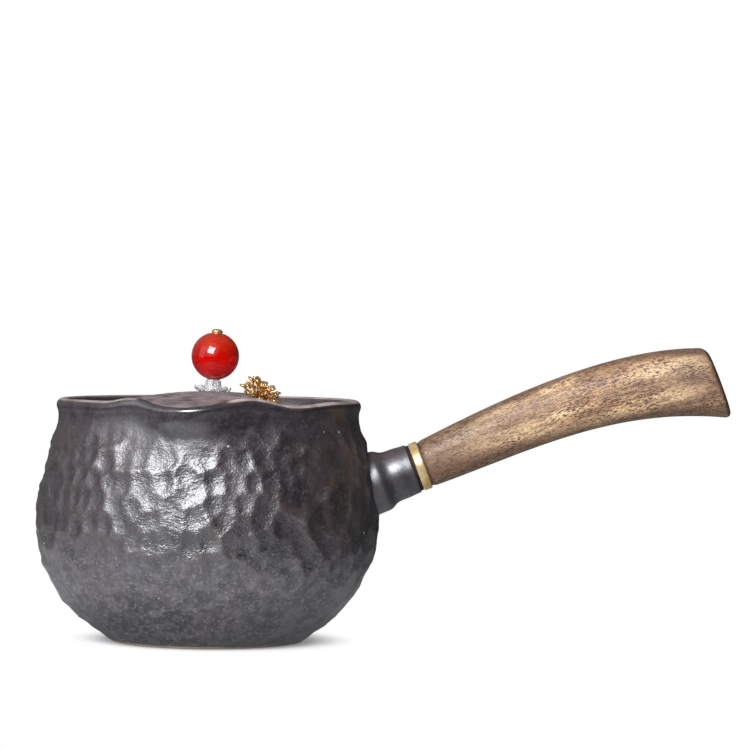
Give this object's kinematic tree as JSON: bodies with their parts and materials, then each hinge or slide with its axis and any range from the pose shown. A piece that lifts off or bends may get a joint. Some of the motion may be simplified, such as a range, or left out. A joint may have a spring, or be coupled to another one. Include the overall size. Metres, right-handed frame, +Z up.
{
  "type": "side handle teapot",
  "caption": "Round glazed teapot with a pulled pour lip, a loose domed lid with a bead knob and a gilt flower, and a drooping wooden side handle in a ferruled socket.",
  "frame": {"origin": "middle of the flat base, on the table", "axes": "+Z up along the pot's axis, +X towards the handle, -Y towards the pour lip"},
  "size_m": [0.2034, 0.1002, 0.0915],
  "materials": {
    "iron_glaze": "dark iron glaze, hammered, satin gloss",
    "lid_glaze": "thin brown-grey iron glaze",
    "crystal": "clear, polished",
    "carnelian": "polished",
    "gilt": "gilt, polished",
    "brass": "brushed",
    "silicone": "matt",
    "black_rubber": "matt",
    "cork": "bonded",
    "steel": "turned",
    "walnut": "oiled"
  },
  "bodies": {
    "pot": {"pot_body": "iron_glaze", "socket_sleeve": "cork", "handle_stud": "steel", "handle_gasket": "black_rubber", "handle_ferrule": "brass", "handle_grip": "walnut"},
    "lid": {"lid": "lid_glaze", "knob_seat": "crystal", "knob_bead": "carnelian", "knob_screw": "gilt", "knob_gasket": "silicone", "knob_washer": "brass", "knob_nut": "brass", "flower_calyx": "gilt", "flower_outer_petals": "gilt", "flower_middle_petals": "gilt", "flower_inner_petals": "gilt", "flower_stamens": "gilt", "flower_washer": "brass", "flower_nut": "brass"}
  },
  "joints": [
    {"name": "lid_lift", "type": "slide", "parent": "pot", "child": "lid", "axis": [0, 0, 1], "range_m": [0, 0.05]}
  ]
}
